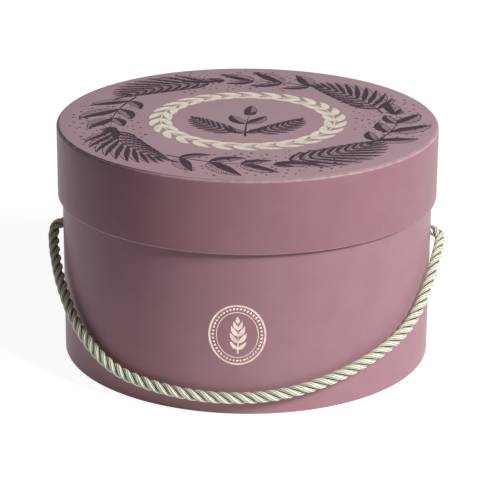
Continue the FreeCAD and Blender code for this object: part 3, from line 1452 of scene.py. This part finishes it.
@dataclass(frozen=True)
class Leaves:
    """Leaf shapes in a plane: the spine is an arc, and the half-width a skewed sine along it."""

    start: Array
    heading: Array
    length: Array
    bend: Array
    breadth: float
    share: Array = field(default_factory=lambda: np.linspace(0.0, 1.0, LEAF_POINTS))
    skew: float = 0.8
    fullness: float = 0.9
    rib_foot: float = 1.15
    vein_roots: Span = (0.1, 0.78)
    vein_lean: float = 0.16
    vein_reach: float = 0.9

    def spine(self, share: Array) -> tuple[Array, Array]:
        """Points of the arcs and their left normals.

        A step along an arc is its length over its bend times the growth of the heading's sine and
        the loss of its cosine.

        Args:
            share: shares of the length.

        Returns:
            Points and unit normals, leaf by leaf.
        """
        first = self.heading[:, None]
        turned = first + self.bend[:, None] * share
        scale = (self.length / self.bend)[:, None]
        steps = np.stack([scale * (np.sin(turned) - np.sin(first)),
                          scale * (np.cos(first) - np.cos(turned))], axis=-1)
        return self.start[:, None] + steps, np.stack([-np.sin(turned), np.cos(turned)], axis=-1)

    def half_width(self, share: Array) -> Array:
        """Half-widths: the sine of pi times the skewed share, to the power of the fullness."""
        swell = np.sin(math.pi * share ** self.skew).clip(0) ** self.fullness
        return self.breadth * self.length[:, None] * swell

    def edges(self, line: float) -> Strokes:
        """Both edges of each leaf as lines.

        Args:
            line: the lines' half-width.

        Returns:
            The left edges, then the right ones.
        """
        points, normals = self.spine(self.share)
        reach = normals * self.half_width(self.share)[..., None]
        return Strokes.even(np.concatenate([points + reach, points - reach]), line)

    def midribs(self, line: float) -> Strokes:
        """The spines as lines that thin towards the tip."""
        points, _ = self.spine(self.share)
        return Strokes(points, np.broadcast_to(line * (self.rib_foot - self.share), points.shape[:2]))

    def blades(self) -> Strokes:
        """The whole leaves, filled."""
        points, _ = self.spine(self.share)
        return Strokes(points, np.maximum(self.half_width(self.share), TINY))

    def half_blades(self) -> Strokes:
        """The left half of each leaf, filled from the spine to its edge.

        Returns:
            Strokes along the middle of the halves.
        """
        points, normals = self.spine(self.share)
        half = np.maximum(self.half_width(self.share) / 2, TINY)
        return Strokes(points + normals * half[..., None], half)

    def veins(self, count: int, line: float) -> Strokes:
        """Side veins from the spine towards the edge, leaning to the tip.

        Args:
            count: veins to a side.
            line: their half-width.

        Returns:
            The left veins, then the right ones.
        """
        root = np.linspace(*self.vein_roots, count)
        tip = root + self.vein_lean
        points, _ = self.spine(root)
        edge, normals = self.spine(tip)
        reach = normals * self.half_width(tip)[..., None] * self.vein_reach
        ends = np.concatenate([edge + reach, edge - reach])
        lines = np.stack([np.concatenate([points, points]), ends], axis=2).reshape(-1, 2, 2)
        return Strokes.even(lines, line)


@dataclass(frozen=True)
class Fronds:
    """Ferns: arched stems with pairs of leaves that shorten to the tip."""

    start: Array
    heading: Array
    length: Array
    bend: Array
    pairs: int
    reach: float
    breadth: float
    tip: float = 0.5
    left: float = 1.0
    stem_points: int = 25
    leaf_places: Span = (0.14, 0.97)
    opening: Span = (66.0, 34.0)
    swell: Span = (0.2, 0.92)
    swell_power: float = 0.8
    leaf_bend: float = 0.6
    tip_bend: float = 0.1

    @property
    def stem(self) -> Leaves:
        """The stems as spines without blades."""
        return Leaves(self.start, self.heading, self.length, self.bend, 0.0,
                      np.linspace(0, 1, self.stem_points))

    def leaves(self) -> Leaves:
        """The leaves of every frond.

        A leaf opens from the stem by an angle that passes from its value at the foot to its value
        at the tip. Its length is the reach times a power of the sine of pi times a share that
        passes likewise, and on the left also times the left's share. One more leaf ends each stem.

        Returns:
            All the leaves as one set.
        """
        share = np.linspace(*self.leaf_places, self.pairs)
        points, normals = self.stem.spine(share)
        side = np.array([1.0, -1.0])[:, None, None]
        foot, top = self.opening
        stem_heading = np.arctan2(-normals[..., 0], normals[..., 1])
        heading = stem_heading + side * np.radians(foot + (top - foot) * share)
        low, high = self.swell
        swell = np.sin(math.pi * (low + (high - low) * share)) ** self.swell_power
        size = np.where(side > 0, self.left, 1.0) * self.reach * swell
        shape = heading.shape
        end, _ = self.stem.spine(np.ones(1))
        ends = np.ones(len(self.heading))
        starts = np.broadcast_to(points, (*shape, 2)).reshape(-1, 2)
        sizes = np.broadcast_to(size, shape).ravel()
        bends = np.broadcast_to(-side * self.leaf_bend, shape).ravel()
        return Leaves(np.vstack([starts, end[:, 0]]),
                      np.concatenate([heading.ravel(), self.heading + self.bend]),
                      np.concatenate([sizes, ends * self.reach * self.tip]),
                      np.concatenate([bends, ends * self.tip_bend]), self.breadth)


def dots(centres: Array, radius: Array | float, points: int = 9) -> Strokes:
    """Filled discs: short strokes whose half-width is the circle's.

    Args:
        centres: the discs' centres.
        radius: one radius, or one for each disc.
        points: points along each stroke.

    Returns:
        The discs.
    """
    turn = np.linspace(0, math.pi, points)
    size = np.broadcast_to(radius, len(centres))[:, None]
    along = -size * np.cos(turn)
    lines = centres[:, None] + np.stack([along, np.zeros_like(along)], axis=-1)
    return Strokes(lines, np.maximum(size * np.sin(turn), TINY))


def oval(across: float, up: float, line: float, points: int = 145) -> Strokes:
    """Closed oval of a line's half-width, by its two radii."""
    turn = np.linspace(0, FULL_TURN, points)
    return Strokes.even(np.column_stack([across * np.sin(turn), up * np.cos(turn)])[None], line)


@dataclass
class LidPrint:
    """Ornament on the lid's top: a wreath of engraved ferns in ink and a laurel ring in foil."""

    sizes: BoxSizes
    face: float
    body: str = "lid"
    slot: str = "covering_paper"
    ring_radius: float = 0.091
    places: int = 8
    first_place: float = 0.3
    fern_length: float = 0.073
    fern_reach: float = 0.034
    fern_curl: float = 0.85
    fern_outer: float = 0.72
    lean: Wave = Wave(0.14, 2.4, 0.6)
    fern_veins: int = 6
    leaf_veins: int = 13
    stem_line: float = 0.0008
    edge_line: float = 0.00028
    vein_line: float = 0.00016
    rib_line: float = 0.00035
    laurel_radius: float = 0.057
    laurel_leaves: int = 26
    laurel_length: float = 0.019
    laurel_breadth: float = 0.15
    laurel_opening: float = 0.62
    laurel_bend: float = 0.5
    laurel_curl: float = 0.2
    laurel_line: float = 0.0005
    stipple: int = 640
    stipple_margins: Span = (0.014, 0.007)
    stipple_radii: Span = (0.0006, 0.0012)
    stipple_points: int = 7
    stray_turn: Wave = Wave(0.02, 2.9)
    stray_out: Wave = Wave(0.0015, 1.7)
    ground_offset: float = 0.9
    ground_level: float = -0.35
    ink_rise: float = 0.00003
    foil_rise: float = 0.000054

    def place(self, plane: Array, lift: Array) -> Array:
        """Points on the lid's top panel at heights above it."""
        return np.concatenate([plane, (self.face + lift)[..., None]], axis=-1)

    def wreath(self, first: int, pairs: int, breadth: float, tip: float) -> Fronds:
        """Every second sprig of the wreath, each curving with its circle.

        Args:
            first: number of the first place taken.
            pairs: pairs of leaves to a sprig.
            breadth: half-width of a leaf as a share of its length.
            tip: length of the last leaf as a share of the reach.

        Returns:
            The sprigs.
        """
        number = np.arange(first, self.places, 2)
        turn = FULL_TURN * (number + self.first_place) / self.places
        lean = self.lean.at(number)
        length = np.full(len(number), self.fern_length)
        bend = length / self.ring_radius * self.fern_curl - lean
        return Fronds(self.ring_radius * circle(turn), turn + math.pi / 2 + lean, length, bend, pairs,
                      self.fern_reach, breadth, tip, self.fern_outer)

    def spray(self) -> tuple[Fronds, Fronds]:
        """A leaf sprig between two ferns, fanned out in the middle.

        Returns:
            The sprig and the ferns.
        """
        sprig = Fronds(start=np.array([[0.0, -0.036]]), heading=np.array([1.62]),
                       length=np.array([0.048]), bend=np.array([-0.12]), pairs=3, reach=0.0235,
                       breadth=0.2, tip=0.9)
        heading = np.radians([24.0, 156.0])
        foot, gap = np.array([0.0, -0.030]), 0.003
        ferns = Fronds(start=foot + gap * circle(heading), heading=heading,
                       length=np.array([0.043, 0.043]), bend=np.array([0.7, -0.65]), pairs=8,
                       reach=0.0165, breadth=0.11)
        return sprig, ferns

    def grains(self) -> Strokes:
        """Stipple in the wreath's ground: a loosened sunflower spiral, kept where a wave is high.

        A dot turns by the golden angle from the one before. Its turn and its distance out stray by
        sines of its number, and its size follows the fraction of its number times the root of two.

        Returns:
            Dots of many sizes.
        """
        number = np.arange(self.stipple)
        turn = number * GOLDEN_ANGLE + self.stray_turn.at(number)
        inner = self.laurel_radius + self.stipple_margins[0]
        outer = self.sizes.lid_sheet_radius - self.stipple_margins[1]
        out = np.sqrt(inner ** 2 + (outer ** 2 - inner ** 2) * (number + 0.5) / self.stipple)
        out = out + self.stray_out.at(number)
        least, most = self.stipple_radii
        size = least + (most - least) * (number * math.sqrt(2) % 1)
        kept = np.sin(self.places / 2 * turn + self.ground_offset) > self.ground_level
        centres = out[:, None] * circle(turn)
        return dots(centres[kept], size[kept], self.stipple_points)

    def ink(self) -> list[Strokes]:
        """All the marks in ink: stipple, then each fern's stem and its engraved leaves.

        Returns:
            The marks, in groups.
        """
        sprig, ferns = self.spray()
        narrow = (self.wreath(first=0, pairs=10, breadth=0.1, tip=0.5), ferns)
        broad = (self.wreath(first=1, pairs=4, breadth=0.2, tip=0.8), sprig)
        marks = [self.grains()]
        for group, veins in ((narrow, self.fern_veins), (broad, self.leaf_veins)):
            for fern in group:
                leaves = fern.leaves()
                marks += [fern.stem.midribs(self.stem_line), leaves.edges(self.edge_line),
                          leaves.half_blades(), leaves.veins(veins, self.vein_line),
                          leaves.midribs(self.rib_line)]
        return marks

    def foil(self) -> list[Strokes]:
        """All the marks in foil: pairs of laurel leaves on a thin ring.

        Returns:
            The marks, in groups.
        """
        turn = np.repeat(FULL_TURN * np.arange(self.laurel_leaves) / self.laurel_leaves, 2)
        side = np.tile([1.0, -1.0], self.laurel_leaves)
        leaves = Leaves(start=self.laurel_radius * circle(turn),
                        heading=turn + math.pi / 2 + side * self.laurel_opening,
                        length=np.full(len(turn), self.laurel_length),
                        bend=self.laurel_curl - side * self.laurel_bend, breadth=self.laurel_breadth)
        return [leaves.blades(), oval(self.laurel_radius, self.laurel_radius, self.laurel_line)]

    def build(self, ink: Material, foil: Material) -> list[Piece]:
        """Make and dress the print.

        Args:
            ink: the printing ink.
            foil: the stamped foil.

        Returns:
            The new pieces.
        """
        inked = raised("lid_fern_print", self.ink(), self.place, self.ink_rise)
        stamped = raised("lid_laurel_foil", self.foil(), self.place, self.foil_rise)
        return [settle(inked, ink, self.body, self.slot), settle(stamped, foil, self.body, self.slot)]


@dataclass
class FrontEmblem:
    """Stamped foil ornament on the drum's front: a beaded oval round a leaf sprig."""

    sizes: BoxSizes
    body: str = "drum"
    slot: str = "covering_paper"
    height: float = 0.054
    half_width: float = 0.0175
    half_height: float = 0.0195
    outer_line: float = 0.00062
    inner_inset: float = 0.0044
    inner_line: float = 0.0003
    beads: int = 44
    bead_inset: float = 0.0022
    bead_radius: float = 0.00075
    stem_line: float = 0.0005
    rise: float = 0.00004

    def place(self, plane: Array, lift: Array) -> Array:
        """Points on the drum's wall: distance round it and up from the middle of the emblem."""
        radius = self.sizes.drum_radius
        return around(plane[..., 0] / radius, radius + lift, self.height + plane[..., 1])

    def marks(self) -> list[Strokes]:
        """The oval, its beads and the sprig.

        Returns:
            The marks, in groups.
        """
        outer = np.array([self.half_width, self.half_height])
        turn = FULL_TURN * np.arange(self.beads) / self.beads
        beads = (outer - self.bead_inset) * circle(turn)[:, ::-1]
        sprig = Fronds(start=np.array([[0.0003, -0.0125]]), heading=np.array([1.53]),
                       length=np.array([0.0208]), bend=np.array([0.08]), pairs=5, reach=0.0088,
                       breadth=0.17, tip=0.52)
        return [oval(*outer, self.outer_line), oval(*(outer - self.inner_inset), self.inner_line),
                dots(beads, self.bead_radius), sprig.leaves().blades(),
                sprig.stem.midribs(self.stem_line)]

    def build(self, foil: Material) -> Piece:
        """Make and dress the emblem."""
        piece = raised("front_emblem_foil", self.marks(), self.place, self.rise)
        return settle(piece, foil, self.body, self.slot)


@dataclass
class Studio:
    """Pale floor, soft light and the camera at the photograph's viewing angle."""

    target: Point = (0.00216, 0.0001, 0.06532)
    distance: float = 1.5184
    azimuth: float = 2.5
    elevation: float = 20.318
    roll: float = 0.4686
    sensor: float = 36.0
    lens: float = 163.28
    key_power: float = 51.0
    key_azimuth: float = 54.0
    key_elevation: float = 37.0
    key_distance: float = 2.2
    key_size: Span = (0.6, 0.65)
    fill: float = 0.6
    fill_azimuth: float = 205.0
    fill_edge: float = 0.25
    floor_radius: float = 8.0
    floor_points: int = 96
    far_grey: str = "#5e5e5e"
    far_span: Span = (0.2, 0.7)
    bounce: Span = (0.06, 0.0)
    bounce_span: Span = (0.2, 0.6)
    shadow_grey: str = "#909090"
    glow: Span = (0.92, 0.98)
    glow_span: Span = (0.3, 2.0)

    @staticmethod
    def outward(azimuth: float, elevation: float) -> Vector:
        """Direction from the box at an azimuth and elevation in degrees."""
        turn, tilt = math.radians(azimuth), math.radians(elevation)
        return Vector(around(turn, math.cos(tilt), math.sin(tilt)))

    def stand(self, data: bpy.types.ID, way: Vector, distance: float, roll: float = 0.0) -> Piece:
        """Put a camera or a lamp up so that it faces the box.

        Args:
            data: the camera or lamp.
            way: direction from the box.
            distance: how far off it stands.
            roll: degrees that it is turned about its own axis.

        Returns:
            The object that holds it.
        """
        holder = bpy.data.objects.new(data.name, data)
        bpy.context.scene.collection.objects.link(holder)
        turn = (-way).to_track_quat("-Z", "Y").to_matrix()
        turn = turn @ Matrix.Rotation(math.radians(roll), 3, "Z")
        holder.matrix_world = Matrix.LocRotScale(Vector(self.target) + way * distance, turn, None)
        return holder

    def camera(self) -> None:
        """Long lens on a tripod, turned a hair about its own axis."""
        data = bpy.data.cameras.new("camera")
        data.sensor_width = self.sensor
        data.lens = self.lens
        way = self.outward(self.azimuth, self.elevation)
        bpy.context.scene.camera = self.stand(data, way, self.distance, self.roll)

    def key_light(self) -> None:
        """Soft box to the right of the box."""
        data = bpy.data.lights.new("key", "AREA")
        data.energy = self.key_power
        data.shape = "RECTANGLE"
        data.size, data.size_y = self.key_size
        self.stand(data, self.outward(self.key_azimuth, self.key_elevation), self.key_distance)

    def world(self) -> None:
        """Fill light from behind, seen as white by the camera and in reflections."""
        world = bpy.data.worlds.new("studio")
        bpy.context.scene.world = world
        sheet = NodeSheet(world, "ShaderNodeOutputWorld")
        way = sheet.add("ShaderNodeTexCoord").outputs["Generated"]
        toward = {0: way, 1: self.outward(self.fill_azimuth, 0.0)}
        facing = sheet.add("ShaderNodeVectorMath", toward, operation="DOT_PRODUCT").outputs["Value"]
        level = sheet.add("ShaderNodeMapRange", {"Value": facing, "From Min": self.fill_edge,
                                                 "To Max": self.fill}).outputs["Result"]
        fill = sheet.add("ShaderNodeBackground", {"Color": tint(WHITE), "Strength": level})
        white = sheet.add("ShaderNodeBackground", {"Color": tint(WHITE)})
        sheet.close(sheet.chosen(sheet.seen_rays(), fill, white))

    def floor(self) -> None:
        """Round white floor that keeps the box's soft shadow.

        To the eye it is a bright glow over grey paint, which takes the shadow. As a source of light
        it is white paper near the box, with a little glow for the bounce, and grey further off.
        """
        turn = np.linspace(0, FULL_TURN, self.floor_points, endpoint=False)
        rim = around(turn, self.floor_radius, 0.0)
        piece = make_piece("floor", rim, [np.arange(self.floor_points)[None]])
        sheet = NodeSheet.of_material("floor_white")
        away = sheet.length(sheet.place())
        shade = sheet.mix(sheet.ramp(away, self.far_span), WHITE, self.far_grey)
        bounce = sheet.ramp(away, self.bounce_span, self.bounce)
        lit = sheet.added(sheet.add("ShaderNodeBsdfDiffuse", {"Color": shade}),
                          sheet.add("ShaderNodeEmission", {"Strength": bounce}))
        glow = sheet.ramp(away, self.glow_span, self.glow)
        seen = sheet.added(sheet.add("ShaderNodeBsdfDiffuse", {"Color": tint(self.shadow_grey)}),
                           sheet.add("ShaderNodeEmission", {"Strength": glow}))
        piece.data.materials.append(sheet.close(sheet.chosen(sheet.seen_rays(), lit, seen)))

    def build(self) -> None:
        """Set up the whole studio."""
        bpy.context.scene.view_settings.view_transform = "Standard"
        self.camera()
        self.key_light()
        self.world()
        self.floor()


def main() -> None:
    """Build the studio and every sub-assembly, in order."""
    logging.basicConfig(level=logging.INFO, format="%(name)s: %(message)s")
    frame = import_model()
    sizes = BoxSizes.from_frame(frame)
    Studio().build()
    lid = Lid(sizes)
    drum_rim = WornAndShadedFold(sizes.drum_radius, sizes.drum_rim)
    drum_paper = CoveringPaper("drum_paper", folds=(drum_rim,)).material()
    # Pale wear on the lid's lower fold, which also stands in for the floor's reflection along that edge:
    # partly a painted reflection.
    lid_foot = WornAndShadedFold(sizes.lid_radius, sizes.lid_bottom)
    # The lid's top fold: painted shade on the left, away from the key light, passing to a painted
    # highlight on the right.
    lid_edge = WornAndShadedFold(sizes.lid_radius, sizes.lid_edge, PAINTED_RIM_SHADE, "#d3b6bb", reach=0.0018)
    lid_paper = CoveringPaper("lid_paper", "#a27881", "#9f747d", folds=(lid_foot, lid_edge)).material()
    # The card's cut edge: painted shade on the left and a paler painted highlight on the right.
    card_edge = WornAndShadedFold(sizes.lid_sheet_radius, sizes.lid_face + lid.panel_rise / 2, PAINTED_RIM_SHADE,
                         "#bfa2a8")
    card = CoveringPaper("top_card", "#af9098", "#ac8c94", gloss=0.65, roughness=0.92,
                         folds=(card_edge,)).material()
    lining = LiningPaper().material()
    board = Greyboard().material()
    CordHandle(sizes).build(SatinCord().material(), ClearTape().material())
    Drum(sizes).build(drum_paper, lining, board)
    lid.build(lid_paper, card, lining, board)
    champagne = HotFoil("champagne_foil", "#d6c8b8", "#bfae9b").material()
    rose = HotFoil("rose_foil", "#f2dcd6", "#dcbfb6").material()
    LidPrint(sizes, sizes.lid_face + lid.panel_rise).build(PrintInk().material(), champagne)
    FrontEmblem(sizes).build(rose)


if __name__ == "__main__":
    main()
